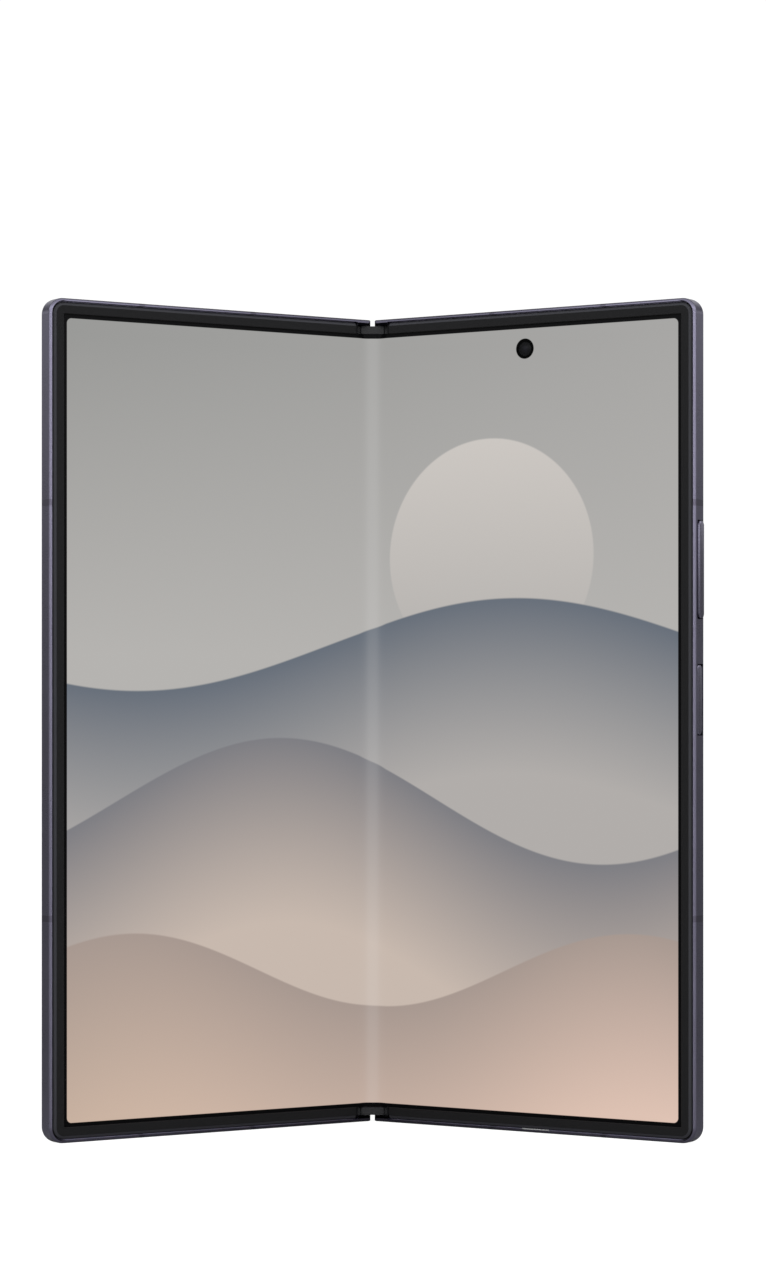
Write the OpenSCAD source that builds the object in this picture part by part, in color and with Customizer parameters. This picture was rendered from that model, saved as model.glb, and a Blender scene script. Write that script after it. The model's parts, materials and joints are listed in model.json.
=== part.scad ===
/* [Phone] */
// Height from the bottom edge to the top edge
body_h = 158.4; // [150:0.1:175]
// Width of one half, from the fold line to its outer side
half_w = 71.6; // [70:0.1:80]
// Thickness of one half
half_t = 4.2; // [4.2:0.05:5]
// Radius of the four outer corners
corner_r = 3; // [2.4:0.1:5]
// Angle that each half is folded up from flat
fold_angle = 32.25; // [0:0.25:89]

/* [Frame] */
// Rounding along the front edge of the frame
front_round = 0.7; // [0.4:0.05:0.8]
// Rounding along the back edge of the frame
back_round = 1; // [0.5:0.1:1]
// Width of the metal rim that shows around the screen
front_rim = 0.55; // [0.5:0.05:0.6]
// Width of the metal rim that shows around the back glass
back_rim = 1; // [1:0.05:1.3]
// Thickness of the frame's side walls
wall = 1.7; // [1.5:0.05:1.8]
// Thickness of the plate inside the frame
mid_plate = 0.4; // [0.3:0.05:0.4]
// Thickness of the frame's ends where they pass the hinge
tab_wall = 1.2; // [1:0.05:1.3]
// Distance from the fold line to the end of a tab
tab_start = 0.53; // [0.4:0.01:0.8]
// Gap between the two back lips when the phone lies open
lip_gap = 0.3; // [0.2:0.05:0.6]
// Width of an antenna band
band_w = 1.2; // [0.8:0.1:1.6]
// Height of the upper antenna band on the side
band_high = 120; // [119.5:0.1:124]
// Height of the lower antenna band on the side
band_low = 42.1; // [36:0.1:60]
// Distance from the fold line to the inner bands of the top and bottom
band_inner = 27.6; // [27.5:0.1:28]
// Distance from the fold line to the outer bands of the top and bottom
band_outer = 52; // [50:0.1:60]

/* [Screen] */
// Width of the screen surround, with its gap to the outside
bezel_w = 3; // [2.8:0.05:3.2]
// Gap from the outside of the phone to the screen surround
bezel_gap = 0.75; // [0.7:0.01:0.8]
// Width of the slope along the outside of the surround
bezel_slope = 0.7; // [0.3:0.05:0.8]
// Thickness of the surround over the screen
bezel_t = 0.4; // [0.4:0.05:0.5]
// Distance from the fold line to the end of the surround
bezel_start = 3.85; // [3.75:0.05:4]
// Thickness of the screen panel
panel_t = 0.32; // [0.3:0.01:0.36]
// Length of screen that bends on each side of the fold line
bend_len = 4.2; // [4:0.1:5]
// Thickness of the stiffening plate behind the screen
plate_t = 0.18; // [0.14:0.01:0.18]
// Distance from the middle of the half to the front camera, towards the fold line
camera_shift = 1; // [-1:0.1:1.8]
// Distance from the top edge to the front camera
camera_drop = 7.6; // [7:0.1:8.5]
// Radius of the camera hole in the screen
camera_hole_r = 1.9; // [1.6:0.05:2.2]

/* [Hinge] */
// Distance from the fold line to each half's fold axis
axis_x = 1.2; // [1.15:0.01:1.25]
// Depth of the fold axes behind the front surface
axis_w = 0.95; // [0.9:0.01:0.97]
// Outer radius of the hinge cover around each axis
cover_r = 2.4; // [2.3:0.01:2.42]
// Thickness of the hinge cover
cover_wall = 0.3; // [0.25:0.01:0.35]
// Running gap between the hinge cover and the halves
cover_gap = 0.1; // [0.08:0.01:0.15]
// Length of the caps that close the hinge ends
cap_len = 1.5; // [1:0.05:1.55]
// Distance from each end of the phone to the middle of a hinge module
module_z = 22; // [20:0.5:30]
// Inner radius of the curved rails
rail_in = 1.3; // [1.25:0.01:1.35]
// Outer radius of the curved rails
rail_out = 1.8; // [1.75:0.01:1.82]
// Width of each rail arm along the hinge
rail_w = 3; // [2.6:0.1:3.2]
// Running gap around the rails, gears and pins
run_gap = 0.04; // [0.03:0.01:0.05]
// Spacing of the four gear shafts
gear_pitch = 1.2; // [1.2:0.01:1.24]
// Number of teeth on each gear
gear_teeth = 12; // [12:4:16]
// Width of the gears along the hinge
gear_w = 2; // [1.6:0.1:2.2]
// Radius of the gear shafts
shaft_r = 0.2; // [0.15:0.01:0.22]
// Length of the synchronising arms, from their shaft
sync_len = 5.7; // [5:0.1:5.8]
// Distance from the fold line to the pivot bead of the wing plates
wing_pivot = 9; // [8.8:0.1:9.2]
// Share of the fold angle by which a wing plate tilts
wing_share = 0.09; // [0.08:0.01:0.1]

/* [Keys] */
// Height of the middle of the volume rocker
rocker_z = 107.5; // [107:0.1:108.5]
// Length of the volume rocker
rocker_len = 18.35; // [17:0.05:20]
// Distance that the rocker stands out of the frame
rocker_out = 0.4; // [0.3:0.05:0.7]
// Height of the middle of the side key
side_key_z = 83.1; // [82:0.1:84]
// Length of the side key
side_key_len = 13.2; // [12:0.1:14]
// Width of both keys
key_w = 2; // [1.6:0.1:2.2]
// Gap around the keys
key_gap = 0.1; // [0.08:0.01:0.15]

/* [Back] */
// Thickness of the glass backs
glass_t = 0.45; // [0.35:0.05:0.45]
// Distance from the fold line to the edge of the glass backs
glass_start = 3; // [3:0.1:3.5]
// Distance from the outer side to the middle of the camera island
island_side = 13; // [12.6:0.1:13.6]
// Distance from the top edge to the middle of the camera island
island_drop = 33; // [31:0.5:40]
// Width of the camera island
island_w = 19; // [18.5:0.1:19.5]
// Length of the camera island
island_len = 56; // [54:0.5:58]
// Height of the camera island above the back glass
island_out = 1.1; // [0.8:0.05:1.5]
// Spacing of the three rear cameras
lens_pitch = 17; // [16.5:0.1:17.5]
// Radius of the rear lens rings
lens_ring_r = 7.2; // [7:0.1:7.5]

/* [Inside] */
// Radius of the charging coil
coil_r = 22; // [18:0.5:23]
// Length of the two battery cells
battery_len = 62; // [55:0.5:64]
// Distance from the outer side to the battery cells
battery_side = 8.9; // [6:0.1:14]
// Height of the lower edge of the battery cells
battery_z = 30; // [29:0.5:31]
// Width of the opening of the charging port
port_w = 8.34; // [8.3:0.01:8.4]
// Height of the opening of the charging port
port_t = 2.56; // [2.5:0.01:2.6]
// Thickness of the port's metal shell
port_wall = 0.12; // [0.1:0.01:0.13]
// Depth of the charging port
port_depth = 7.3; // [6.5:0.1:7.5]
// Distance from the middle of the half to the charging port, away from the fold line
port_shift = 1; // [0:0.1:2]
// Width of the card tray
tray_w = 13; // [12.5:0.1:13.5]
// Length of the card tray
tray_len = 23; // [20:0.5:24]
// Thickness of the card tray
tray_t = 0.8; // [0.7:0.05:0.9]
// Distance from the fold line to the middle of the card tray
tray_u = 19; // [18.9:0.1:19.1]
// Width of the lower loudspeaker
speaker_w = 12.5; // [10:0.1:13]
// Length of the lower loudspeaker
speaker_len = 20; // [15:0.5:22]
// Length of the board in the left half
left_board_len = 26; // [20:0.5:30]

/* [Hidden] */
$fn = 48;
seat = 0.03;
arc_steps = 6;

// Depths behind the front surface, from the screen to the back
panel_front = bezel_t;
panel_back = panel_front + panel_t;
mid_front = panel_back + plate_t;
mid_back = mid_front + mid_plate;
glass_front = half_t - glass_t;
glass_seat = glass_front - seat;
bay_front = mid_back + 0.05;

// Angle at which the rounding of the front edge meets the inside of the rim
rim_angle = 360 - acos(min(front_rim / front_round, 1) - 1);

// Screen and surround
panel_edge = bezel_gap + 0.75;
surround_foot = panel_edge - 0.1;
fold_end = bezel_w - 0.05;
crease_steps = 12;

// Hinge
recess_r = cover_r + cover_gap;
cover_in = cover_r - cover_wall;
cover_back = axis_w + cover_r;
cover_floor = axis_w + cover_in;
lip_start = lip_gap / 2;
lip_front = axis_w + recess_r + 0.02;
beam_end = wing_pivot + 2.2;
cap_start = tab_wall + 0.1;
bar_front = axis_w + 0.05;
bar_back = bar_front + rail_out - rail_in;
pad_end = wing_pivot - 1;
right_rail_z = -6;
left_rail_z = -2;
gear_z = 3;
shaft_x = gear_pitch * 1.5;
idler_x = gear_pitch * 0.5;
shaft_w = bar_back + 0.15;
gear_pitch_r = gear_pitch / 2;
gear_tip_r = gear_pitch_r + 0.06;
gear_root_r = gear_pitch_r - 0.1;
sync_t = 0.5;
base_front = bar_back + 0.1;
base_side = cover_in - 0.05;
block_start = -9;
shaft_plate = 0.8;
plate_low = gear_z - gear_w / 2 - 0.1 - shaft_plate;
plate_high = gear_z + gear_w / 2 + 0.1;
block_end = plate_high + shaft_plate;
hinge_screw_z = block_start + 0.75;
hinge_screw_w = base_front + 0.2;
notch_start = block_start - 0.8;
notch_end = block_end + 0.8;
bead_r = 0.18;
bead_w = mid_front + 0.03;
wing_front = panel_back + 0.02;
wing_back = mid_front;
wing_start = 1.5;
wing_end_gap = bezel_w + 0.2;

// Screws
screw_head_r = 0.65;
screw_head_t = 0.25;
screw_r = 0.35;
screw_gap = 0.02;
rail_screw_u = 6.2;

// Keys
key_middle = half_t / 2;
rocker_swing = 0.26;
rocker_flange = wall + rocker_swing + 0.04;
side_key_flange = wall + 0.02;
key_flange_t = 0.22;
key_overlap = 0.6;
rocker_back = half_w - rocker_flange - key_flange_t;
rocker_ridge_r = rocker_swing + 0.08;
switch_t = 0.35;
switch_u = rocker_back - rocker_ridge_r - 0.02 - switch_t;

// Inside
camera_u = half_w / 2 - camera_shift;
port_u = half_w / 2 + port_shift;
port_outer_w = port_w + 2 * port_wall;
port_outer_t = port_t + 2 * port_wall;
port_middle = mid_front + 0.02 + port_outer_t / 2;
tongue_w = 6.6;
tongue_t = 0.7;
board_front = bay_front + 0.7;
board_back = board_front + 0.5;
chip_gap = 0.02;
chip_t = 0.55;
chip_len = 8;
can_len = 14;
can_wall = 0.15;
board_edge = 2;
can_low = 4;
sub_board_len = 17;
sub_board_t = 0.5;
magnet_len = 10;
magnet_low = 12;
sub_board_u = port_u - 8;
sub_board_front = port_middle + port_outer_t / 2 - 1;
can_back = glass_seat - 0.1;
tray_middle = mid_back + 0.75;
card_gap = 0.05;
reader_wall = 0.15;
battery_u = beam_end + 1.5;
battery_w = half_w - battery_side - battery_u;
island_u = half_w - island_side;
battery_back = glass_seat - 0.35;
coil_t = 0.2;
coil_in_r = coil_r * 0.45;
island_back = half_t + island_out;
island_z = body_h - island_drop;
camera_z = body_h - camera_drop;
lens_r = lens_ring_r - 1.1;
lens_barrel_r = lens_r - 1.2;
flash_r = 1.6;
flash_z = island_z + lens_pitch / 2 + 0.5;
flash_u = island_u - island_w / 2 + flash_r + 0.9;
cover_camera_u = half_w / 2;
earpiece_w = 13;
earpiece_len = 3.2;
earpiece_u = cover_camera_u + earpiece_w / 2 + 3.7;
cover_camera_r = 1.8;
small_box = 6.4;
camera_box = 12.4;
cover_panel_t = 0.3;
haptic_u = half_w - 16.6;
haptic_z = 14;
haptic_len = 11;
haptic_w = 7;
haptic_wall = 0.2;
haptic_t = battery_back - bay_front;
haptic_swing = 0.3;
haptic_room = haptic_wall + haptic_swing + 0.05;
board_start = tray_u + tray_w / 2 + 1.6;
board_low = battery_z + battery_len + 3;
board_side = island_u - island_w / 2 - 1.2;
can_step = (board_side - battery_u - 2 * board_edge) / 3;
can_w = can_step - 1.2;
small_can_u = camera_u + 5.4;
small_can_w = board_side - small_can_u - 1.3;
sub_board_w = haptic_u - haptic_len / 2 - 2.7 - sub_board_u;
sub_screw = [sub_board_u + sub_board_w - board_edge, port_depth + sub_board_len - 1.6];

// Place of the whole phone, so that its middle stands over the origin
function half_y(u, w) = axis_w - (u - axis_x) * sin(fold_angle) + (w - axis_w) * cos(fold_angle);
front_y = half_y(half_w - front_round, front_round) - front_round;
island_y = half_y(island_u - island_w / 2, island_back);
back_y = max(half_y(lip_start, half_t), island_y, cover_back);
middle_y = (front_y + back_y) / 2;

function arc(x, y, r, from, to, steps = arc_steps) = [
    for (i = [0:steps])
        let (angle = from + (to - from) * i / steps)
        [x + r * cos(angle), y + r * sin(angle)]
];

// Outline of a flat piece of one half, with rounded outer corners
function half_outline(start, inset, low = 0) =
    let (r = max(corner_r - inset, 0.3))
    let (side = half_w - inset)
    let (bottom = max(inset, low))
    let (top = body_h - bottom)
    concat(
        [[start, bottom]],
        arc(side - r, bottom + r, r, -90, 0),
        arc(side - r, top - r, r, 0, 90),
        [[start, top]]
    );

// Outline of a box with rounded corners around its middle
function round_outline(w, h, r) = concat(
    arc(w / 2 - r, h / 2 - r, r, 0, 90),
    arc(r - w / 2, h / 2 - r, r, 90, 180),
    arc(r - w / 2, r - h / 2, r, 180, 270),
    arc(w / 2 - r, r - h / 2, r, 270, 360)
);

// Section of the frame's wall, as distance from the outside and depth
function wall_section(depth) = concat(
    front_round < front_rim ? [[front_rim, 0]] : [],
    arc(front_round, front_round, front_round, rim_angle, 180),
    arc(back_round, half_t - back_round, back_round, 180, 90),
    depth > back_rim
        ? [[back_rim, half_t], [back_rim, glass_seat], [depth, glass_seat]]
        : [[depth, half_t]],
    [[depth, mid_front], [front_rim, mid_front]]
);

// Section of the frame's ends beside the hinge
function tab_section() = concat(
    arc(front_round, front_round, front_round, 270, 180),
    arc(back_round, half_t - back_round, back_round, 180, 90),
    [[tab_wall, half_t], [tab_wall, 0]]
);

function bezel_section() = [
    [bezel_gap, mid_front],
    [bezel_gap, bezel_slope * 0.6],
    [bezel_gap + bezel_slope, 0],
    [bezel_w - 0.12, 0],
    [bezel_w, 0.12],
    [bezel_w, bezel_t],
    [surround_foot, bezel_t],
    [surround_foot, mid_front]
];

// A point of the screen at distance s from the fold line and depth w, bent with the halves
function bend_share(s) = let (x = min(s / bend_len, 1)) x * x * (3 - 2 * x);
function bent(s, w) =
    let (angle = fold_angle * bend_share(s))
    [
        axis_x + (s - axis_x) * cos(angle) + (w - axis_w) * sin(angle),
        axis_w - (s - axis_x) * sin(angle) + (w - axis_w) * cos(angle)
    ];

module placed() {
    translate([0, -middle_y, 0]) children();
}

module right_half() {
    placed()
        translate([axis_x, axis_w, 0])
            rotate([0, 0, -fold_angle])
                translate([-axis_x, -axis_w, 0])
                    children();
}

module left_half() {
    mirror([1, 0, 0]) right_half() children();
}

module both_ends() {
    children();
    translate([0, 0, body_h]) mirror([0, 0, 1]) children();
}

// Flat piece seen from the front, from one depth to another
module layer(front, back) {
    translate([0, back, 0]) rotate([90, 0, 0]) linear_extrude(back - front) children();
}

// Round piece along the depth of a half
module peg(u, z, front, back, r) {
    translate([u, front, z]) rotate([-90, 0, 0]) cylinder(h = back - front, r = r);
}

module block(u, w, z, size_u, size_w, size_z) {
    translate([u, w, z]) cube([size_u, size_w, size_z]);
}

// Wall that runs along the top, the outer side and the bottom of one half
module wall_run(section, start) {
    translate([half_w, 0, corner_r])
        linear_extrude(body_h - 2 * corner_r)
            polygon([for (p = section) [-p[0], p[1]]]);
    both_ends() {
        translate([half_w - corner_r, 0, corner_r])
            rotate([-90, 0, 0])
                rotate_extrude(angle = 90)
                    polygon([for (p = section) [max(corner_r - p[0], 0), p[1]]]);
        translate([start, 0, 0])
            rotate([90, 0, 90])
                linear_extrude(half_w - corner_r - start)
                    polygon([for (p = section) [p[1], p[0]]]);
    }
}

// Piece of an antenna band in the side wall
module side_band(z) {
    translate([half_w, 0, z - band_w / 2])
        linear_extrude(band_w)
            polygon([for (p = wall_section(back_rim)) [-p[0], p[1]]]);
}

// Piece of an antenna band in the top or bottom wall
module end_band(u) {
    translate([u - band_w / 2, 0, 0])
        rotate([90, 0, 90])
            linear_extrude(band_w)
                polygon([for (p = wall_section(back_rim)) [p[1], p[0]]]);
}

module antenna_bands() {
    side_band(band_high);
    side_band(band_low);
    both_ends() {
        end_band(band_inner);
        end_band(band_outer);
    }
}

module band_cuts() {
    for (z = [band_high, band_low])
        block(half_w - back_rim, -1, z - band_w / 2, back_rim + 1, half_t + 2, band_w);
    both_ends()
        for (u = [band_inner, band_outer])
            block(u - band_w / 2, -1, -1, band_w, half_t + 2, back_rim + 1);
}

// Tabs that pass the ends of the hinge, rounded and cut off towards the fold line
module hinge_tabs() {
    tab_cut = 0.4;
    both_ends() intersection() {
        translate([tab_start, 0, 0])
            rotate([90, 0, 90])
                linear_extrude(bezel_start - tab_start)
                    polygon([for (p = tab_section()) [p[1], p[0]]]);
        linear_extrude(tab_wall)
            polygon(concat(
                arc(tab_start + 0.8, 0.8, 0.8, 270, 180),
                arc(tab_start + 0.8, half_t - 0.8, 0.8, 180, 90),
                [[bezel_start, half_t], [bezel_start, 0]]
            ));
        translate([0, half_t + 1, 0]) rotate([90, 0, 0]) linear_extrude(half_t + 2)
            polygon([
                [tab_start + tab_cut, 0],
                [bezel_start + 1, 0],
                [bezel_start + 1, tab_wall + 1],
                [tab_start - 1, tab_wall + 1],
                [tab_start, tab_cut]
            ]);
    }
}

// Middle of each of the two hinge modules
module at_modules() {
    for (z = [module_z, body_h - module_z])
        translate([0, 0, z]) children();
}

// Beam beside the hinge, with the lip that hides the hinge from behind
module hinge_beam() {
    beam_len = body_h - 2 * tab_wall;
    difference() {
        translate([0, 0, tab_wall]) linear_extrude(beam_len) difference() {
            polygon([
                [lip_start, lip_front],
                [axis_x, lip_front],
                [axis_x + 1, axis_w + 0.9],
                [axis_x + recess_r - 0.3, axis_w + 0.9],
                [wing_pivot - 0.45, mid_front + 0.2],
                [wing_pivot, mid_front + 0.2],
                [wing_pivot, mid_front],
                [beam_end, mid_front],
                [beam_end, glass_seat],
                [glass_start - seat, glass_seat],
                [glass_start - seat, half_t],
                [lip_start + 0.3, half_t],
                [lip_start, half_t - 0.3]
            ]);
            translate([axis_x, axis_w]) circle(r = recess_r);
        }
        translate([wing_pivot, bead_w, 0]) cylinder(h = body_h, r = bead_r + run_gap);
        at_modules() translate([0, 0, notch_start])
            linear_extrude(notch_end - notch_start)
                polygon([
                    [axis_x, 0],
                    [wing_pivot - 0.5, 0],
                    [wing_pivot - 0.5, mid_front + 0.1],
                    [pad_end + 0.2, bar_back],
                    [axis_x, bar_back]
                ]);
    }
}

// Frame of one half; side is 1 for the right half and -1 for the left half
module half_frame(side) {
    rail_z = side > 0 ? right_rail_z : left_rail_z;
    difference() {
        union() {
            wall_run(wall_section(wall), bezel_start);
            hinge_tabs();
            hinge_beam();
            layer(mid_front, mid_back) polygon(half_outline(beam_end - 0.5, front_rim + 0.2));
            for (z = [battery_z - 1.2, battery_z + battery_len + 0.3])
                block(battery_u, mid_front, z, battery_w, battery_back - mid_front, 0.9);
        }
        band_cuts();
        both_ends()
            block(glass_start - seat, glass_seat, back_rim, bezel_start - glass_start + 0.1, 1, 1);
        at_modules() {
            block(axis_x + 1, bar_back - 0.2, gear_z - gear_w / 2 - 0.1,
                sync_len + 0.9, shaft_w + sync_t / 2 + 0.3 - bar_back + 0.2, gear_w + 0.2);
            for (offset = [-1, 1])
                peg(rail_screw_u, rail_z + offset, bar_back - 0.1, glass_seat - 0.4,
                    screw_r + screw_gap);
        }
    }
}

module screen_surround() {
    wall_run(bezel_section(), bezel_start);
}

module screen_panel() {
    layer(panel_front, panel_back) polygon(half_outline(bend_len, panel_edge));
}

module support_plate() {
    layer(panel_back, mid_front) polygon(half_outline(wing_pivot + 0.35, wall + 0.1));
}

// Annular sector around the fold axis, from one angle to another
module rail_sector() {
    difference() {
        circle(r = rail_out);
        circle(r = rail_in);
        polygon([[0, 0], [4, -4], [4, 0.28]]);
        polygon([[0, 0], [4, -4], [-4, -4], [-4, 0], [-4, 3]]);
    }
}

module rail_arms(side) {
    rail_z = side > 0 ? right_rail_z : left_rail_z;
    at_modules() translate([0, 0, rail_z]) difference() {
        union() {
            translate([axis_x, axis_w, -rail_w / 2]) linear_extrude(rail_w) rail_sector();
            block(axis_x + rail_in, bar_front, -rail_w / 2,
                pad_end - axis_x - rail_in, bar_back - bar_front, rail_w);
        }
        for (offset = [-1, 1]) {
            peg(rail_screw_u, offset, bar_front - 0.1, bar_front + screw_head_t,
                screw_head_r + screw_gap);
            peg(rail_screw_u, offset, bar_front, bar_back + 0.1, screw_r + screw_gap);
        }
    }
}

module wing_plate() {
    translate([wing_pivot, bead_w, 0])
        rotate([0, 0, -wing_share * fold_angle])
            translate([-wing_pivot, -bead_w, 0])
                difference() {
                    union() {
                        block(wing_start, wing_front, wing_end_gap,
                            wing_pivot - wing_start, wing_back - wing_front,
                            body_h - 2 * wing_end_gap);
                        translate([wing_pivot, bead_w, wing_end_gap])
                            cylinder(h = body_h - 2 * wing_end_gap, r = bead_r);
                    }
                    at_modules()
                        block(0, 0, notch_start, wing_pivot - 0.45, half_t,
                            notch_end - notch_start);
                }
}

// Section of the gear teeth, each a trapezium with play to its neighbour
module gear_section(turn) {
    step = 360 / gear_teeth;
    rotate([0, 0, turn]) polygon([
        for (i = [0:gear_teeth - 1])
            for (corner = [[-0.27, 0], [-0.12, 1], [0.12, 1], [0.27, 0]])
                let (r = corner[1] > 0 ? gear_tip_r : gear_root_r)
                let (angle = step * (i + corner[0]))
                [r * cos(angle), r * sin(angle)]
    ]);
}

module gear(turn) {
    difference() {
        translate([0, 0, -gear_w / 2]) linear_extrude(gear_w) gear_section(turn);
        translate([0, 0, -gear_w]) cylinder(h = 2 * gear_w, r = shaft_r + run_gap);
    }
}

// Outline of the inside of the hinge, down from one depth
module hinge_inside(r, front) {
    intersection() {
        union() {
            for (x = [-axis_x, axis_x])
                translate([x, axis_w]) circle(r = r);
            translate([-axis_x, axis_w]) square([2 * axis_x, r]);
        }
        translate([-10, front]) square([20, 10]);
    }
}

module hinge_cover() {
    color("#3a3842") placed() difference() {
        translate([0, 0, cap_start])
            linear_extrude(body_h - 2 * cap_start)
                hinge_inside(cover_r, axis_w);
        linear_extrude(body_h) hinge_inside(cover_in, axis_w - 1);
        at_modules() {
            block(axis_x, 0, right_rail_z - rail_w / 2 - 0.1, 5, bar_back + 0.1, rail_w + 0.2);
            mirror([1, 0, 0])
                block(axis_x, 0, left_rail_z - rail_w / 2 - 0.1, 5, bar_back + 0.1, rail_w + 0.2);
            block(-5, 0, gear_z - gear_w / 2 - 0.1,
                10, shaft_w + sync_t / 2 + 0.1, gear_w + 0.2);
        }
    }
}

module hinge_end_caps() {
    color("#2e2e31") placed() both_ends() {
        translate([0, 0, cap_start]) linear_extrude(cap_len) {
            hinge_inside(base_side, bezel_t - 0.02);
            translate([0, -0.02]) polygon(concat(
                [[-axis_x - 0.9, bezel_t], [axis_x + 0.9, bezel_t]],
                arc(axis_x + 0.9, bezel_t * 1.5, bezel_t, 0, -90),
                arc(-axis_x - 0.9, bezel_t * 1.5, bezel_t, -90, -180)
            ));
        }
    }
}

module hinge_bases() {
    color("#6b6d74") placed() at_modules() {
        difference() {
            translate([0, 0, block_start])
                linear_extrude(plate_low - block_start)
                    hinge_inside(base_side, base_front);
            for (side = [[axis_x, right_rail_z], [-axis_x, left_rail_z]])
                translate([side[0], axis_w, side[1] - rail_w / 2 - run_gap])
                    difference() {
                        cylinder(h = rail_w + 2 * run_gap, r = rail_out + run_gap);
                        translate([0, 0, -1])
                            cylinder(h = rail_w + 3, r = rail_in - run_gap);
                    }
            for (x = [-axis_x, axis_x]) {
                peg(x, hinge_screw_z, 0, hinge_screw_w + screw_head_t, screw_head_r + screw_gap);
                peg(x, hinge_screw_z, 0, cover_floor + 1, screw_r + screw_gap);
            }
        }
        for (z = [plate_low, plate_high])
            difference() {
                translate([0, 0, z]) linear_extrude(shaft_plate)
                    hinge_inside(base_side, shaft_w - 0.5);
                for (x = [-shaft_x, -idler_x, idler_x, shaft_x])
                    translate([x, shaft_w, z - 1]) cylinder(h = 3, r = shaft_r + seat);
            }
        translate([0, 0, gear_z - gear_w / 2 - 0.1])
            linear_extrude(gear_w + 0.2)
                hinge_inside(base_side, shaft_w + gear_tip_r + 0.1);
    }
}

module gear_shafts() {
    color("#b9bcc2") placed() at_modules()
        for (x = [-shaft_x, -idler_x, idler_x, shaft_x])
            translate([x, shaft_w, plate_low])
                cylinder(h = plate_high + shaft_plate - plate_low, r = shaft_r);
}

module hinge_screws() {
    color("#8d9096") placed() at_modules()
        for (x = [-axis_x, axis_x])
            screw(x, hinge_screw_z, hinge_screw_w, cover_floor);
}

module display_fold() {
    lengths = [for (i = [0:crease_steps]) bend_len * i / crease_steps];
    backwards = [for (i = [crease_steps:-1:0]) bend_len * i / crease_steps];
    color("#b0aeac") placed() translate([0, 0, fold_end])
        linear_extrude(body_h - 2 * fold_end)
            polygon(concat(
                [for (s = lengths) bent(s, panel_front)],
                [for (s = backwards) bent(s, panel_back)],
                [for (s = lengths) if (s > 0) let (p = bent(s, panel_back)) [-p[0], p[1]]],
                [for (s = backwards) if (s > 0) let (p = bent(s, panel_front)) [-p[0], p[1]]]
            ));
}

module idler_gears() {
    placed() at_modules() translate([idler_x, shaft_w, gear_z])
        gear(fold_angle + 180 / gear_teeth);
}

module right_idler_gears() {
    color("#c9a86a") idler_gears();
}

module left_idler_gears() {
    color("#c9a86a") mirror([1, 0, 0])
        placed() at_modules() translate([idler_x, shaft_w, gear_z]) gear(fold_angle);
}

module sync_arms(turn) {
    placed() at_modules() translate([shaft_x, shaft_w, gear_z])
        union() {
            gear(turn - fold_angle);
            rotate([0, 0, -fold_angle])
                translate([gear_root_r - 0.15, -sync_t / 2, -gear_w / 2])
                    cube([sync_len - gear_root_r + 0.15, sync_t, gear_w]);
        }
}

module right_sync_arms() {
    color("#a9acb3") sync_arms(0);
}

module left_sync_arms() {
    color("#a9acb3") mirror([1, 0, 0]) sync_arms(180 / gear_teeth);
}

module right_wing_plate() {
    color("#7f838a") right_half() wing_plate();
}

module left_wing_plate() {
    color("#7f838a") left_half() wing_plate();
}

module right_frame() {
    color("#5d5a68") right_half() difference() {
        half_frame(1);
        block(half_w - wall - 1, key_middle - key_w / 2 - key_gap,
            rocker_z - rocker_len / 2 - key_gap,
            wall + 2, key_w + 2 * key_gap, rocker_len + 2 * key_gap);
        block(half_w - wall - 1, key_middle - key_w / 2 - key_gap,
            side_key_z - side_key_len / 2 - key_gap,
            wall + 2, key_w + 2 * key_gap, side_key_len + 2 * key_gap);
        block(half_w - wall - 1.6, mid_back - 1,
            side_key_z - side_key_len / 2 - 1.5,
            1.6, 1.1, rocker_z + rocker_len / 2 - side_key_z + side_key_len / 2 + 3);
        translate([port_u, port_middle, -1])
            linear_extrude(port_depth + 2)
                polygon(round_outline(port_outer_w + 2 * seat, port_outer_t + 2 * seat,
                    port_outer_t / 2));
        peg(camera_u, camera_z, 0, mid_back + 1, camera_hole_r + 1.4);
        block(tray_u - tray_w / 2 - card_gap, tray_middle - tray_t / 2 - card_gap,
            body_h - wall - 1, tray_w + 2 * card_gap, tray_t + 2 * card_gap, wall + 2);
        for (i = [0:5])
            translate([port_u - 10 - 1.9 * i, key_middle, -1]) cylinder(h = wall + 2, r = 0.55);
        for (u = [port_u + 9, port_u + 12.5])
            translate([u, key_middle, -1]) cylinder(h = wall + 2, r = 0.4);
    }
}

module left_frame() {
    color("#5d5a68") left_half() difference() {
        half_frame(-1);
        layer(glass_seat - cover_panel_t, glass_seat + 1)
            polygon(half_outline(glass_start + 0.9, wall + 0.8));
        for (i = [0:5])
            translate([earpiece_u - 4.75 + 1.9 * i, key_middle, body_h - wall - 1])
                cylinder(h = wall + 2, r = 0.55);
    }
}

module right_antenna_bands() {
    color("#4b4955") right_half() antenna_bands();
}

module left_antenna_bands() {
    color("#4b4955") left_half() antenna_bands();
}

module right_bezel() {
    color("#202022") right_half() screen_surround();
}

module left_bezel() {
    color("#202022") left_half() screen_surround();
}

module right_display() {
    color("#c8b5a8") right_half() difference() {
        screen_panel();
        peg(camera_u, camera_z, 0, half_t, camera_hole_r);
    }
}

module left_display() {
    color("#b9aca2") left_half() screen_panel();
}

module right_support_plate() {
    color("#3b3b3f") right_half() difference() {
        support_plate();
        peg(camera_u, camera_z, 0, half_t, camera_hole_r + 0.3);
        block(port_u - port_outer_w / 2 - 0.5, 0, 0,
            port_outer_w + 1, mid_front + 1, port_depth + 0.5);
    }
}

module left_support_plate() {
    color("#3b3b3f") left_half() support_plate();
}

module right_rail_arms() {
    color("#92959c") right_half() rail_arms(1);
}

module left_rail_arms() {
    color("#92959c") left_half() rail_arms(-1);
}

module battery_cell() {
    layer(bay_front, battery_back)
        translate([battery_u + battery_w / 2, battery_z + battery_len / 2])
            polygon(round_outline(battery_w, battery_len, 1.5));
}

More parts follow.
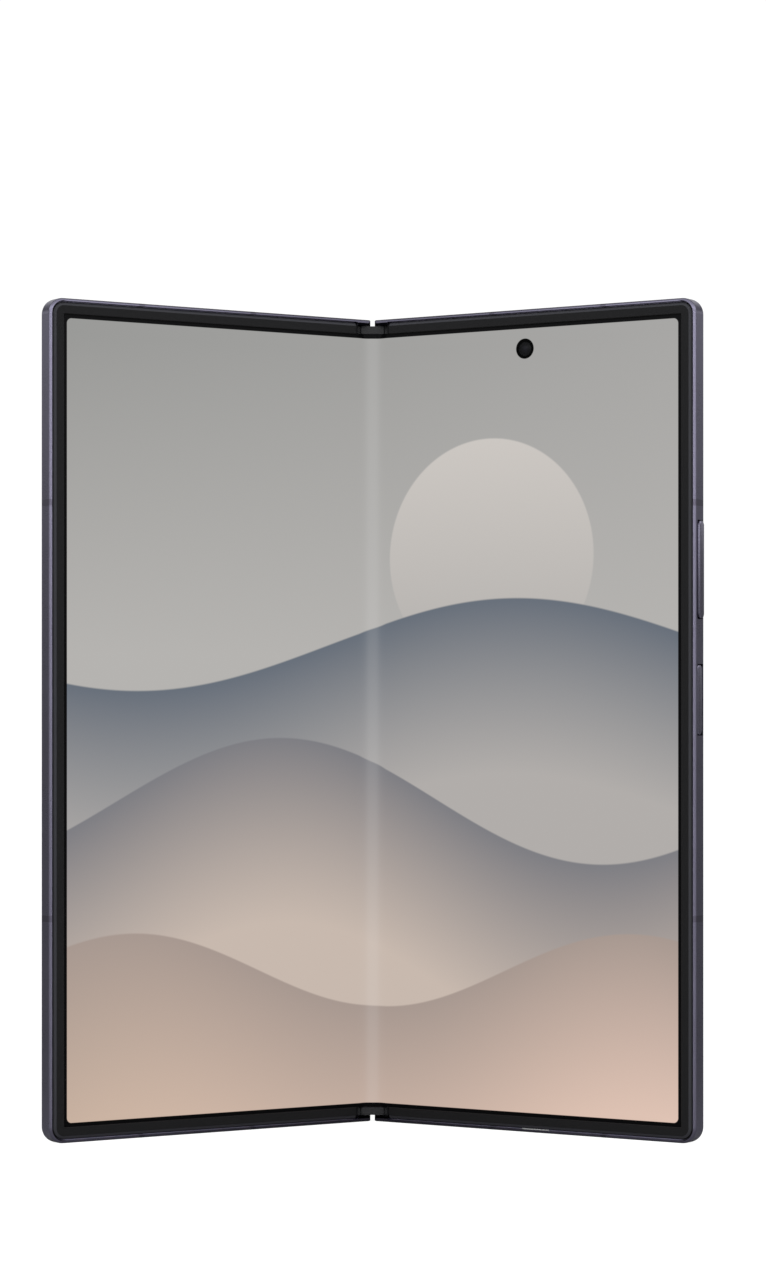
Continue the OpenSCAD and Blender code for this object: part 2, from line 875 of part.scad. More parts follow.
module right_battery() {
    color("#1f2023") right_half() battery_cell();
}

module left_battery() {
    color("#1f2023") left_half() battery_cell();
}

// Outline of the main board, which reaches around the front camera
module main_board() {
    color("#1d4a34") right_half() difference() {
        layer(board_front, board_back) polygon([
            [battery_u, board_low],
            [board_side, board_low],
            [board_side, body_h - wall - 0.4],
            [camera_u + 4.4, body_h - wall - 0.4],
            [camera_u + 4.4, camera_z - 4.6],
            [board_start, camera_z - 4.6],
            [board_start, body_h - tray_len - 4],
            [battery_u, body_h - tray_len - 4]
        ]);
        for (p = board_screws())
            peg(p[0], p[1], 0, half_t, screw_r + screw_gap);
    }
}

function board_screws() = [
    [battery_u + board_edge, board_low + board_edge],
    [board_side - board_edge, board_low + board_edge],
    [board_side - board_edge, body_h - wall - 0.6 - board_edge]
];

module board_chips() {
    color("#26282b") right_half() {
        for (i = [0:2])
            block(battery_u + board_edge + 1 + can_step * i, board_front - chip_t,
                board_low + can_low + 1, chip_len - 1.5 * i, chip_t - chip_gap, chip_len);
        block(small_can_u, board_front - chip_t, camera_z - can_len,
            small_can_w, chip_t - chip_gap, chip_len);
    }
}

// Sheet metal can over a part of the board, open towards the board
module shield_can(u, z, w, len) {
    difference() {
        block(u, board_back, z, w, can_back - board_back, len);
        block(u + can_wall, board_back - 1, z + can_wall,
            w - 2 * can_wall, can_back - board_back + 1 - can_wall, len - 2 * can_wall);
    }
}

module board_shields() {
    color("#a7aaae") right_half() {
        for (i = [0:2])
            shield_can(battery_u + board_edge + can_step * i, board_low + can_low,
                can_w, can_len);
        shield_can(small_can_u, camera_z - 20, small_can_w, can_len + can_low);
    }
}

module sub_board() {
    color("#1d4a34") right_half() difference() {
        block(sub_board_u, sub_board_front, port_depth + 0.4,
            sub_board_w, sub_board_t, sub_board_len);
        peg(sub_screw[0], sub_screw[1], 0, half_t, screw_r + screw_gap);
    }
}

module left_board() {
    color("#1d4a34") left_half() difference() {
        layer(board_front, board_back)
            translate([battery_u + battery_w / 2, board_low + left_board_len / 2])
                polygon(round_outline(battery_w, left_board_len, 1));
        for (u = [battery_u + board_edge, battery_u + battery_w - board_edge])
            peg(u, board_low + board_edge, 0, half_t, screw_r + screw_gap);
    }
}

module port_tube(grow, from, to) {
    translate([port_u, port_middle, from])
        linear_extrude(to - from)
            polygon(round_outline(port_w + 2 * grow, port_t + 2 * grow,
                port_t / 2 + grow - 0.01));
}

module usb_port_shell() {
    color("#9a9ca0") right_half() difference() {
        port_tube(port_wall, 0.3, port_depth);
        port_tube(0, -1, port_depth - 0.3);
    }
}

module usb_port_tongue() {
    color("#17181a") right_half()
        block(port_u - tongue_w / 2, port_middle - tongue_t / 2, 1,
            tongue_w, tongue_t, port_depth - 1.3);
}

module right_speaker() {
    color("#2a2b2e") right_half()
        block(port_u - speaker_w - 9, bay_front, wall + 0.4,
            speaker_w, battery_back - bay_front, speaker_len);
}

module left_speaker() {
    color("#2a2b2e") left_half()
        block(earpiece_u - earpiece_w / 2, bay_front, body_h - wall - 0.4 - earpiece_len,
            earpiece_w, battery_back - bay_front, earpiece_len);
}

module haptic_case() {
    color("#84878d") right_half() difference() {
        block(haptic_u - haptic_len / 2, bay_front, haptic_z - haptic_w / 2,
            haptic_len, haptic_t, haptic_w);
        block(haptic_u - haptic_len / 2 + haptic_wall, bay_front + haptic_wall,
            haptic_z - haptic_w / 2 + haptic_wall,
            haptic_len - 2 * haptic_wall, haptic_t - 2 * haptic_wall, haptic_w - 2 * haptic_wall);
    }
}

module haptic_weight() {
    color("#55575c") right_half()
        block(haptic_u - haptic_len / 2 + haptic_room, bay_front + haptic_wall + seat,
            haptic_z - haptic_w / 2 + haptic_wall + seat,
            haptic_len - 2 * haptic_room, haptic_t - 2 * (haptic_wall + seat),
            haptic_w - 2 * (haptic_wall + seat));
}

module front_camera() {
    color("#1b1c1f") right_half() {
        peg(camera_u, camera_z, mid_front + 0.1, mid_front + 1.4, camera_hole_r + 0.9);
        block(camera_u - small_box / 2, mid_front + 1.4, camera_z - small_box / 2,
            small_box, 1.3, small_box);
    }
}

module front_camera_lens() {
    color("#30343c") right_half()
        peg(camera_u, camera_z, panel_front + 0.05, mid_front + 0.1, camera_hole_r - 0.05);
}

module cover_camera() {
    color("#1b1c1f") left_half() {
        peg(cover_camera_u, camera_z, mid_back + 1.2, glass_seat - 0.32, cover_camera_r);
        block(cover_camera_u - small_box / 2, mid_back, camera_z - small_box / 2,
            small_box, 1.2, small_box);
    }
}

module island_outline(grow) {
    translate([island_u, island_z])
        polygon(round_outline(island_w + 2 * grow, island_len + 2 * grow,
            island_w / 2 + grow - 0.01));
}

module at_lenses() {
    for (i = [-1:1])
        translate([0, 0, island_z + i * lens_pitch]) children();
}

module back_glass() {
    color("#34374a") right_half() difference() {
        layer(glass_front, half_t) polygon(half_outline(glass_start, back_rim + seat));
        at_lenses() peg(island_u, 0, 0, half_t + 1, lens_r - 0.4);
        peg(flash_u, flash_z, 0, half_t + 1, flash_r);
    }
}

module camera_island() {
    color("#4b495a") right_half() difference() {
        layer(half_t, island_back) island_outline(0);
        at_lenses() peg(island_u, 0, half_t - 1, island_back + 1, lens_r + seat);
        peg(flash_u, flash_z, half_t - 1, island_back + 1, flash_r + seat);
    }
}

module camera_lens_rings() {
    color("#6a6877") right_half() at_lenses() difference() {
        peg(island_u, 0, island_back, island_back + 0.35, lens_ring_r);
        peg(island_u, 0, 0, island_back + 1, lens_r + seat);
    }
}

module camera_lens_glasses() {
    color("#101216") right_half()
        at_lenses() peg(island_u, 0, island_back - 0.5, island_back + 0.2, lens_r);
}

module camera_modules() {
    color("#222327") right_half() at_lenses() {
        block(island_u - camera_box / 2, bay_front, -camera_box / 2,
            camera_box, glass_seat - 0.3 - bay_front, camera_box);
        peg(island_u, 0, glass_seat - 0.3, island_back - 0.5, lens_barrel_r);
    }
}

module flash_lens() {
    color("#e8e2cf") right_half()
        peg(flash_u, flash_z, glass_front, island_back + 0.05, flash_r - seat);
}

module charging_coil() {
    color("#a5693a") right_half() difference() {
        peg(battery_u + battery_w / 2, battery_z + battery_len / 2,
            battery_back, battery_back + coil_t, coil_r);
        peg(battery_u + battery_w / 2, battery_z + battery_len / 2,
            0, half_t, coil_in_r);
    }
}

module sim_tray() {
    color("#5d5a68") right_half() difference() {
        block(tray_u - tray_w / 2, tray_middle - tray_t / 2, body_h - tray_len,
            tray_w, tray_t, tray_len - 0.02);
        block(tray_u - tray_w / 2 + 1, tray_middle - tray_t / 2 + 0.25, body_h - tray_len + 1,
            tray_w - 2, tray_t, tray_len - wall - 3);
        translate([tray_u + tray_w / 2 - 1.6, tray_middle, body_h - wall])
            cylinder(h = wall + 1, r = 0.35 - seat);
    }
}

module sim_reader() {
    color("#9a9ca0") right_half() difference() {
        block(tray_u - tray_w / 2 - card_gap - reader_wall,
            tray_middle - tray_t / 2 - card_gap - reader_wall,
            body_h - tray_len - 0.6,
            tray_w + 2 * (card_gap + reader_wall),
            tray_t + 2 * (card_gap + reader_wall),
            tray_len - wall - 0.2);
        block(tray_u - tray_w / 2 - card_gap, tray_middle - tray_t / 2 - card_gap,
            body_h - tray_len - 0.3, tray_w + 2 * card_gap, tray_t + 2 * card_gap, tray_len);
    }
}

// Key cap with a flange behind the frame's wall that keeps it in
module key_cap(z, len, out, flange) {
    translate([half_w - flange, key_middle, z])
        rotate([90, 0, 90])
            linear_extrude(flange + out)
                polygon(round_outline(key_w, len, key_w / 2 - 0.01));
    block(half_w - flange - key_flange_t, key_middle - key_w / 2, z - len / 2 - key_overlap,
        key_flange_t, key_w, len + 2 * key_overlap);
}

// The rocker has a round ridge behind its middle, on which it rocks
module volume_rocker() {
    color("#5d5a68") right_half() {
        key_cap(rocker_z, rocker_len, rocker_out, rocker_flange);
        peg(rocker_back, rocker_z, key_middle - key_w / 2, key_middle + key_w / 2, rocker_ridge_r);
    }
}

module side_key() {
    color("#4b4955") right_half() key_cap(side_key_z, side_key_len, -0.05, side_key_flange);
}

module key_switches() {
    color("#b08d57") right_half() {
        block(switch_u, key_middle - key_w / 2, rocker_z - rocker_len / 2,
            switch_t, key_w, rocker_len);
        block(switch_u, key_middle - key_w / 2, side_key_z - side_key_len / 2,
            switch_t, key_w, side_key_len);
    }
}

module cover_display_panel() {
    color("#0c0d10") left_half() difference() {
        layer(glass_seat - cover_panel_t, glass_front)
            polygon(half_outline(glass_start + 1, wall + 0.9));
        peg(cover_camera_u, camera_z, 0, half_t, cover_camera_r + seat);
    }
}

module cover_glass() {
    color("#15161a") left_half()
        layer(glass_front, half_t) polygon(half_outline(glass_start, back_rim + seat));
}

module edge_magnets() {
    for (z = [magnet_low, body_h - magnet_low - magnet_len])
        block(half_w - wall - 2.3, bay_front, z, 1.9, 1.6, magnet_len);
}

module right_magnets() {
    color("#7c7f85") right_half() edge_magnets();
}

module left_magnets() {
    color("#7c7f85") left_half() edge_magnets();
}

// Screw along the depth, with its head in a recess
module screw(u, z, head, tip) {
    peg(u, z, head, head + screw_head_t, screw_head_r);
    peg(u, z, head + screw_head_t, tip, screw_r);
}

module rail_screws(side) {
    rail_z = side > 0 ? right_rail_z : left_rail_z;
    at_modules() for (offset = [-1, 1])
        screw(rail_screw_u, rail_z + offset, bar_front, glass_seat - 0.5);
}

module right_screws() {
    color("#8d9096") right_half() {
        rail_screws(1);
        for (p = board_screws())
            board_screw(p[0], p[1], board_back, mid_back);
        board_screw(sub_screw[0], sub_screw[1], sub_board_front + sub_board_t, mid_back);
    }
}

// Screw that holds a board, with its head towards the back
module board_screw(u, z, head, tip) {
    peg(u, z, head, head + screw_head_t, screw_head_r);
    peg(u, z, tip, head, screw_r);
}

module left_screws() {
    color("#8d9096") left_half() {
        rail_screws(-1);
        for (u = [battery_u + board_edge, battery_u + battery_w - board_edge])
            board_screw(u, board_low + board_edge, board_back, mid_back);
    }
}

hinge_cover();
hinge_end_caps();
hinge_bases();
gear_shafts();
hinge_screws();
display_fold();
right_idler_gears();
left_idler_gears();
right_sync_arms();
left_sync_arms();
right_wing_plate();
left_wing_plate();
right_frame();
left_frame();
right_antenna_bands();
left_antenna_bands();
right_bezel();
left_bezel();
right_display();
left_display();
right_support_plate();
left_support_plate();
right_rail_arms();
left_rail_arms();
right_battery();
left_battery();
main_board();
board_chips();
board_shields();
sub_board();
left_board();
usb_port_shell();
usb_port_tongue();
right_speaker();
left_speaker();
haptic_case();
haptic_weight();
front_camera();
front_camera_lens();
cover_camera();
back_glass();
camera_island();
camera_lens_rings();
camera_lens_glasses();
camera_modules();
flash_lens();
charging_coil();
sim_tray();
sim_reader();
volume_rocker();
side_key();
key_switches();
cover_display_panel();
cover_glass();
right_magnets();
left_magnets();
right_screws();
left_screws();
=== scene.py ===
import json
from math import cos, radians, sin

import bmesh
import bpy
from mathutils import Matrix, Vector


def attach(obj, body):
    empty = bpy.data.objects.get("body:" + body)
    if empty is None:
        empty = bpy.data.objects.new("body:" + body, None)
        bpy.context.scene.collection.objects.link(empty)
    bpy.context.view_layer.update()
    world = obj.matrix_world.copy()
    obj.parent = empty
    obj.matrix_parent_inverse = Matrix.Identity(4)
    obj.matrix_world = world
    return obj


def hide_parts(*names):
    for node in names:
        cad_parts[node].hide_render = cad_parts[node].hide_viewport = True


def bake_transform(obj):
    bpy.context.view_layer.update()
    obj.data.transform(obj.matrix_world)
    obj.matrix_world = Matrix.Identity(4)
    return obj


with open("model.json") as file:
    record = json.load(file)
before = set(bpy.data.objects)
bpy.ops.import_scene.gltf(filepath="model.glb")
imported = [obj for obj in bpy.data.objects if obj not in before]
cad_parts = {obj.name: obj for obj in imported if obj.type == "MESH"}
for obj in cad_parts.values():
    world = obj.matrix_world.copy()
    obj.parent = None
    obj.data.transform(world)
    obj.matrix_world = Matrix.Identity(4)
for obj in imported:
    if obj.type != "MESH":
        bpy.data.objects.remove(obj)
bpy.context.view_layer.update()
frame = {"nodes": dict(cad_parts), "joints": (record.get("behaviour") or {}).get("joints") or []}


# Hinge cover: the long curved back of the hinge, seen between the halves when the phone closes.
# It is drawn from thin aluminium, blasted and anodised dark, and screwed to the hinge bases.
class Wire:
    """A value that runs over a surface. Sums on it become the material's Math nodes."""

    def __init__(self, tree, socket=None):
        self.tree = tree
        self.socket = socket

    def node(self, kind, settings, inputs, out=0):
        """Any node: its settings are set first, then the values or links of its sockets."""
        made = self.tree.nodes.new("ShaderNode" + kind)
        for name, value in settings.items():
            setattr(made, name, value)
        for name, value in inputs.items():
            if isinstance(value, Wire):
                self.tree.links.new(value.socket, made.inputs[name])
            else:
                made.inputs[name].default_value = value
        return Wire(self.tree, made.outputs[out] if made.outputs else None)

    def sum(self, operation, *values):
        """One Math node on these values."""
        return self.node("Math", {"operation": operation}, dict(enumerate(values)))

    def __add__(self, other):
        return self.sum("ADD", self, other)

    __radd__ = __add__

    def __sub__(self, other):
        return self.sum("SUBTRACT", self, other)

    def __rsub__(self, other):
        return self.sum("SUBTRACT", other, self)

    def __mul__(self, other):
        return self.sum("MULTIPLY", self, other)

    __rmul__ = __mul__

    def __truediv__(self, other):
        return self.sum("DIVIDE", self, other)

    def __rtruediv__(self, other):
        return self.sum("DIVIDE", other, self)

    def __pow__(self, other):
        return self.sum("POWER", self, other)

    def share(self):
        """The same value, kept between 0 and 1."""
        return self.node("Clamp", {}, {"Value": self})

    def after(self, place, steep):
        """0 up to a place, then rising to 1; the steeper, the sharper the change."""
        return ((self - place) * steep).share()

    def before(self, place, steep):
        """0 from a place on, and rising to 1 before it; the steeper, the sharper the change."""
        return ((place - self) * steep).share()

    def tone(self, low, high):
        """A colour that goes from low to high with this value."""
        # A Mix node has its colours on inputs 6 and 7, and on output 2.
        return self.node("Mix", {"data_type": "RGBA"}, {0: self, 6: low, 7: high}, 2)


def colour(red, green, blue):
    """A screen colour, 0 to 255, as the light values that shaders take."""
    light = [c / 255 for c in (red, green, blue)]
    return [c / 12.92 if c < 0.04045 else ((c + 0.055) / 1.055) ** 2.4 for c in light] + [1]


def finish(name):
    """A new material without nodes, and the wire that its nodes start from."""
    material = bpy.data.materials.new(name)
    material.use_nodes = True
    material.node_tree.nodes.clear()
    return material, Wire(material.node_tree)


def coat(wire, **sockets):
    """Closes a finish: each socket of its shader takes a steady value or a wire."""
    named = {name.replace("_", " "): value for name, value in sockets.items()}
    shader = wire.node("BsdfPrincipled", {}, named)
    wire.node("OutputMaterial", {}, {"Surface": shader})


def dress(material, *nodes):
    """Gives CAD nodes their finish."""
    for name in nodes:
        for slot in frame["nodes"][name].material_slots:
            slot.material = material


def at_rest(wire):
    """The place on the whole object at rest, in metres."""
    return wire.node("TexCoord", {}, {}, 3)


def grain(wire, size, detail=2.0, stretch=(1, 1, 1)):
    """Fine noise between 0 and 1, with grains of about that size in metres."""
    place = wire.node("VectorMath", {"operation": "MULTIPLY"}, {0: at_rest(wire), 1: stretch})
    return wire.node("TexNoise", {}, {"Vector": place, "Scale": 1 / size, "Detail": detail})


def bumps(wire, height, depth):
    """Bumps of that depth in metres, for the Normal socket."""
    return wire.node("Bump", {}, {"Height": height, "Distance": depth, "Strength": 0.3})


def anodised(name, tone, rough=0.3, painted_shade=None):
    """Aluminium, blasted with fine beads and anodised: a satin skin with a slight cloudiness.
    Where painted shade is given, from 0 to 1, the colour goes towards black."""
    material, w = finish(name)
    cloud = grain(w, size=0.006, detail=3)
    beads = grain(w, size=0.00012, detail=1)
    deep = [0.86 * c for c in tone[:3]] + [1]
    skin_tone = (0.7 * cloud + 0.3 * beads).tone(deep, tone)
    # Painted shade: where it is asked for, the colour goes towards black.
    if painted_shade:
        skin_tone = painted_shade(w).tone(skin_tone, colour(4, 4, 6))
    coat(
        w,
        Base_Color=skin_tone,
        Metallic=1.0,
        Roughness=rough - 0.04 + 0.08 * beads + 0.04 * cloud,
        Normal=bumps(w, beads, depth=0.000012),
    )
    return material


dress(anodised("cover_metal", colour(112, 109, 124), rough=0.34), "hinge_cover")

# Hinge insides: bases with curved grooves, rail arms, wing plates, shafts, arms and screws.
# All are steel, ground after hardening, which leaves fine lines along the hinge.
steel, w = finish("ground_steel")
lines = grain(w, size=0.00006, detail=3, stretch=(1, 1, 0.04))
patches = grain(w, size=0.004)
coat(
    w,
    Base_Color=(0.5 * lines + 0.5 * patches).tone(colour(150, 151, 155), colour(196, 197, 200)),
    Metallic=1.0,
    Roughness=0.22 + 0.2 * lines,
    Normal=bumps(w, lines, depth=0.00001),
)
dress(
    steel,
    "hinge_bases",
    "gear_shafts",
    "hinge_screws",
    "right_sync_arms",
    "left_sync_arms",
    "right_rail_arms",
    "left_rail_arms",
    "right_screws",
    "left_screws",
    "right_wing_plate",
    "left_wing_plate",
)

# Idler gears: two small toothed wheels in each hinge module, which tie both halves together.
# They are sintered bronze, left bare and oiled, so they are a little darker in patches.
bronze, w = finish("sintered_bronze")
pores = grain(w, size=0.00008)
oil = grain(w, size=0.0009)
coat(
    w,
    Base_Color=oil.tone(colour(150, 116, 66), colour(206, 172, 112)),
    Metallic=1.0,
    Roughness=0.28 + 0.18 * oil,
    Normal=bumps(w, pores, depth=0.00001),
)
dress(bronze, "right_idler_gears", "left_idler_gears")

# End caps of the hinge: two small T-shaped plugs that close its ends, behind the screen's edge.
# They are moulded of glass-filled black plastic with a fine spark texture.
def moulded(name, tone, rough, pit=0.00015, specular=0.4):
    """Plastic from a spark-eroded mould: a fine matt texture that breaks up its shine."""
    material, w = finish(name)
    pits = grain(w, pit, detail=3)
    deep = [0.8 * c for c in tone[:3]] + [1]
    coat(
        w,
        Base_Color=pits.tone(deep, tone),
        Roughness=rough + 0.1 * pits,
        Specular_IOR_Level=specular,
        Normal=bumps(w, pits, depth=0.00002),
    )
    return material


dress(moulded("cap_plastic", colour(28, 28, 30), rough=0.5, specular=0.3), "hinge_end_caps")

# Frames: one milled aluminium frame for each half, with the side walls, the plate inside and the
# beam beside the hinge. They are blasted and anodised dark blue-grey; the keys match them. Their
# front carries painted shade along the groove by the screen's surround, on the tabs at the hinge
# and towards them.
WIDE = 0.0716  # one half, from the fold line to its outer side
TALL = 0.1584
CORNER = 0.003  # round corners of the outline
SHARP = 12000.0  # edge of a painted strip: it changes within a twelfth of a millimetre
fold_joint = next(joint for joint in frame["joints"] if joint["name"] == "right_fold")
FOLD = radians(-fold_joint["range_deg"][0])  # each half's fold in the rest pose
AXIS = (fold_joint["pos_m"][0], 0.00095)  # fold axis: from the fold line, and behind the face
MIDDLE = AXIS[1] - fold_joint["pos_m"][1]  # depth of the origin, under the phone at rest


def along_half(wire):
    """The place on either half: distance from the fold line, depth and height, in metres."""
    place = at_rest(wire)
    across, deep, height = (wire.node("SeparateXYZ", {}, {"Vector": place}, k) for k in range(3))
    out = wire.sum("ABSOLUTE", across) - AXIS[0]
    back = deep - AXIS[1] + MIDDLE
    reach = out * cos(FOLD) - back * sin(FOLD) + AXIS[0]
    return reach, out * sin(FOLD) + back * cos(FOLD) + AXIS[1], height


def from_outline(wire, reach, height):
    """How far a place lies inside the outline of its half, round its corners too."""
    side_in = wire.sum("MAXIMUM", reach - (WIDE - CORNER), 0.0)
    end_in = wire.sum("ABSOLUTE", height - TALL / 2) - (TALL / 2 - CORNER)
    end_in = wire.sum("MAXIMUM", end_in, 0.0)
    return CORNER - wire.sum("SQRT", side_in ** 2.0 + end_in ** 2.0)


def painted_front_shade(wire):
    """Painted shade on the front of a frame: its inner lip by the groove, the tabs, and the ends
    near the hinge.
    """
    lip_inset, lip_reach = 0.00043, 0.068
    tab_inset, tab_reach = 0.00062, 0.0039
    fade_reach, fade_shade = 0.066, 0.5
    front_depth = 0.0012
    reach, depth, height = along_half(wire)
    # The lip stands in for the groove's shadow; the tabs and ends dim the rim's highlight near the
    # hinge.
    lip = from_outline(wire, reach, height).after(lip_inset, SHARP)
    lip = lip * reach.after(lip_reach, 1500.0)
    from_end = TALL / 2 - wire.sum("ABSOLUTE", height - TALL / 2)
    tab = from_end.after(tab_inset, SHARP) * reach.before(tab_reach, SHARP)
    ends = fade_shade * reach.before(fade_reach, 20.0)
    black = wire.sum("MAXIMUM", wire.sum("MAXIMUM", lip, tab), ends)
    return black * depth.before(front_depth, 2500.0)


# The frames take painted shade on their front: along the groove, on the tabs and towards the
# hinge.
frame_metal = anodised("frame_metal", colour(118, 115, 132), 0.27, painted_front_shade)
dress(frame_metal, "right_frame", "left_frame", "sim_tray")

# Antenna bands: narrow strips let into the frames, which part the metal into antennas.
# They are moulded in place of plastic with metal flakes, and milled flush, a shade darker.
# The bands carry the same painted shade on their front as the frames.
band_plastic = anodised("band_plastic", colour(98, 95, 109), 0.3, painted_front_shade)
dress(band_plastic, "right_antenna_bands", "left_antenna_bands")

# Stiffening plates behind the screen: one thin plate of woven carbon fibre in each half.
# Two by two twill, set in resin; its squares are painted lighter and darker by turns, a painted
# sheen.
carbon, w = finish("carbon_weave")
place = at_rest(w)
across, up = (w.node("SeparateXYZ", {}, {"Vector": place}, k) for k in (0, 2))
tow, tow_ribs = 0.0012, 6
over = w.sum("FRACT", (across + up) / (4 * tow))
rib = w.sum("PINGPONG", across / (tow / tow_ribs), 1.0)
coat(
    w,
    # The checker of lighter and darker squares is a painted sheen of the weave.
    Base_Color=w.sum("GREATER_THAN", over, 0.5).tone(colour(26, 26, 28), colour(46, 46, 50)),
    Roughness=0.32 + 0.15 * rib,
    Normal=bumps(w, rib, depth=0.00002),
)
dress(carbon, "right_support_plate", "left_support_plate")

# Battery cells: one flat pouch in each half, glued into the frame.
# The pouch is laminated foil under a black film, which shows soft dents.
film, w = finish("battery_film")
dents = grain(w, size=0.007)
coat(
    w,
    Base_Color=dents.tone(colour(24, 25, 28), colour(38, 39, 43)),
    Roughness=0.3 + 0.15 * dents,
    Normal=bumps(w, dents, depth=0.0002),
)
dress(film, "right_battery", "left_battery")

# Circuit boards: the main board around the front camera, the lower board and the left board.
# Glass-fibre laminate under green solder mask, with copper tracks that raise the mask.
board, w = finish("board_mask")
cells_per_metre, tracks_in_cell, track_share = 900.0, 6.0, 0.45
cell = {"Vector": at_rest(w), "Scale": cells_per_metre}
tracks = w.node("TexVoronoi", {"distance": "MANHATTAN"}, cell)
line = w.sum("LESS_THAN", w.sum("FRACT", tracks_in_cell * tracks), track_share)
coat(
    w,
    Base_Color=line.tone(colour(18, 58, 40), colour(30, 84, 58)),
    Roughness=0.35 + 0.1 * line,
    Normal=bumps(w, line, depth=0.00003),
)
dress(board, "main_board", "sub_board", "left_board")

# Chips and loudspeakers: black epoxy packages on the boards, and black speaker boxes.
# The packages are transfer-moulded with a matt face.
dress(
    moulded("epoxy", colour(40, 41, 44), rough=0.42, pit=0.00008),
    "board_chips",
    "right_speaker",
    "left_speaker",
    "camera_modules",
    "front_camera",
    "cover_camera",
)

# Shield cans, port shell, card reader, motor case and magnets: thin parts of nickel-plated steel.
# They are stamped and left bright, with faint rolling lines.
plated, w = finish("nickel_plate")
rolled = grain(w, size=0.00012, stretch=(1, 1, 0.08))
coat(
    w,
    Base_Color=rolled.tone(colour(172, 173, 172), colour(206, 206, 203)),
    Metallic=1.0,
    Roughness=0.2 + 0.16 * rolled,
    Normal=bumps(w, rolled, depth=0.00001),
)
dress(
    plated,
    "board_shields",
    "usb_port_shell",
    "sim_reader",
    "haptic_case",
    "haptic_weight",
    "right_magnets",
    "left_magnets",
)

# Tongue of the charging port: a black plastic blade that carries the contacts.
# The contacts are gold-plated strips along it, on both faces.
tongue, w = finish("port_tongue")
port_reach = 0.0368
contact_pitch, contact_share, contacts_each_side = 0.0005, 0.5, 6
reach, _, _ = along_half(w)
strip = w.sum("FRACT", (reach - port_reach) / contact_pitch + 0.5)
strip = w.sum("LESS_THAN", w.sum("ABSOLUTE", strip - 0.5), contact_share / 2)
from_middle = w.sum("ABSOLUTE", reach - port_reach)
strip = strip * w.sum("LESS_THAN", from_middle, contacts_each_side * contact_pitch)
coat(
    w,
    Base_Color=strip.tone(colour(24, 24, 26), colour(214, 176, 104)),
    Metallic=strip,
    Roughness=0.5 - 0.25 * strip,
)
dress(tongue, "usb_port_tongue")

# Charging coil and key switches: enamelled copper wire wound flat, and thin copper-nickel domes.
# The coil's turns show as rings around the middle of the right battery.
def from_axis(wire, middle):
    """How far a place on a half lies from an axis through it, in metres."""
    reach, _, height = along_half(wire)
    return wire.sum("SQRT", (reach - middle[0]) ** 2.0 + (height - middle[1]) ** 2.0)


copper, w = finish("copper_turns")
coil_middle, coil_wire = (0.0377, 0.061), 0.0003
turn_round = w.sum("PINGPONG", from_axis(w, coil_middle) / coil_wire, 1.0)
# The turns are painted lighter on their crowns and darker between them, a painted highlight and
# shade.
coat(
    w,
    Base_Color=turn_round.tone(colour(132, 72, 40), colour(206, 132, 84)),
    Metallic=1.0,
    Roughness=0.34 - 0.1 * turn_round,
    Normal=bumps(w, turn_round, depth=0.00005),
)
dress(copper, "charging_coil", "key_switches")

# Screen surrounds: a frame of soft black plastic over the screen's edge on three sides.
# Each is moulded with a polished slope along its outside, which carries a painted highlight, and
# glued down; its dark joint against the metal and at the hinge is partly real and partly painted
# shade; its face is matt.
surround, w = finish("surround_plastic")
joint_inset, slope_inset, hinge_reach = 0.00092, 0.00142, 0.0043
reach, _, height = along_half(w)
from_edge = from_outline(w, reach, height)
# Painted shade: the joint is darkened along the metal and at the hinge, partly a real dark joint.
joint = w.sum("MAXIMUM", from_edge.before(joint_inset, SHARP), reach.before(hinge_reach, 8000.0))
slope_highlight = from_edge.before(slope_inset, SHARP)
pits = grain(w, size=0.0002, detail=3)
face_tone = pits.tone(colour(19, 19, 20), colour(25, 25, 26))
coat(
    w,
    # The slope is painted much lighter than the face, a painted highlight.
    Base_Color=joint.tone(slope_highlight.tone(face_tone, colour(54, 54, 58)), colour(3, 3, 5)),
    Roughness=0.42 + 0.1 * pits - 0.1 * slope_highlight,
    Specular_IOR_Level=0.1,
    Normal=bumps(w, pits, depth=0.00002),
)
dress(surround, "right_bezel", "left_bezel")

# Inner screen: one sheet of thin glass and plastic film across both halves, which bends between
# them. Each half of it is built flat, cut where it bends, and laid in the phone's rest pose.
BEND = 0.0034  # from the fold line to the end of the bend
FACE, UNDER = 0.0004, 0.00072  # depth of the sheet's front and back


def place_on(side, reach, depth, height, share=1.0):
    """A point of one half, turned about its fold axis by a share of the rest pose's fold."""
    turn = FOLD * share
    out, back = reach - AXIS[0], depth - AXIS[1]
    across = AXIS[0] + out * cos(turn) + back * sin(turn)
    return Vector((side * across, AXIS[1] - out * sin(turn) + back * cos(turn) - MIDDLE, height))


def arc(across, up, radius, first, last, steps=8):
    """Points along an arc, with its angles in degrees."""
    angles = [radians(first + (last - first) * k / steps) for k in range(steps + 1)]
    return [(across + radius * cos(a), up + radius * sin(a)) for a in angles]


def circle(middle, radius, points=48):
    """Points around a whole circle."""
    return arc(*middle, radius, 0, 360 - 360 / points, points - 1)


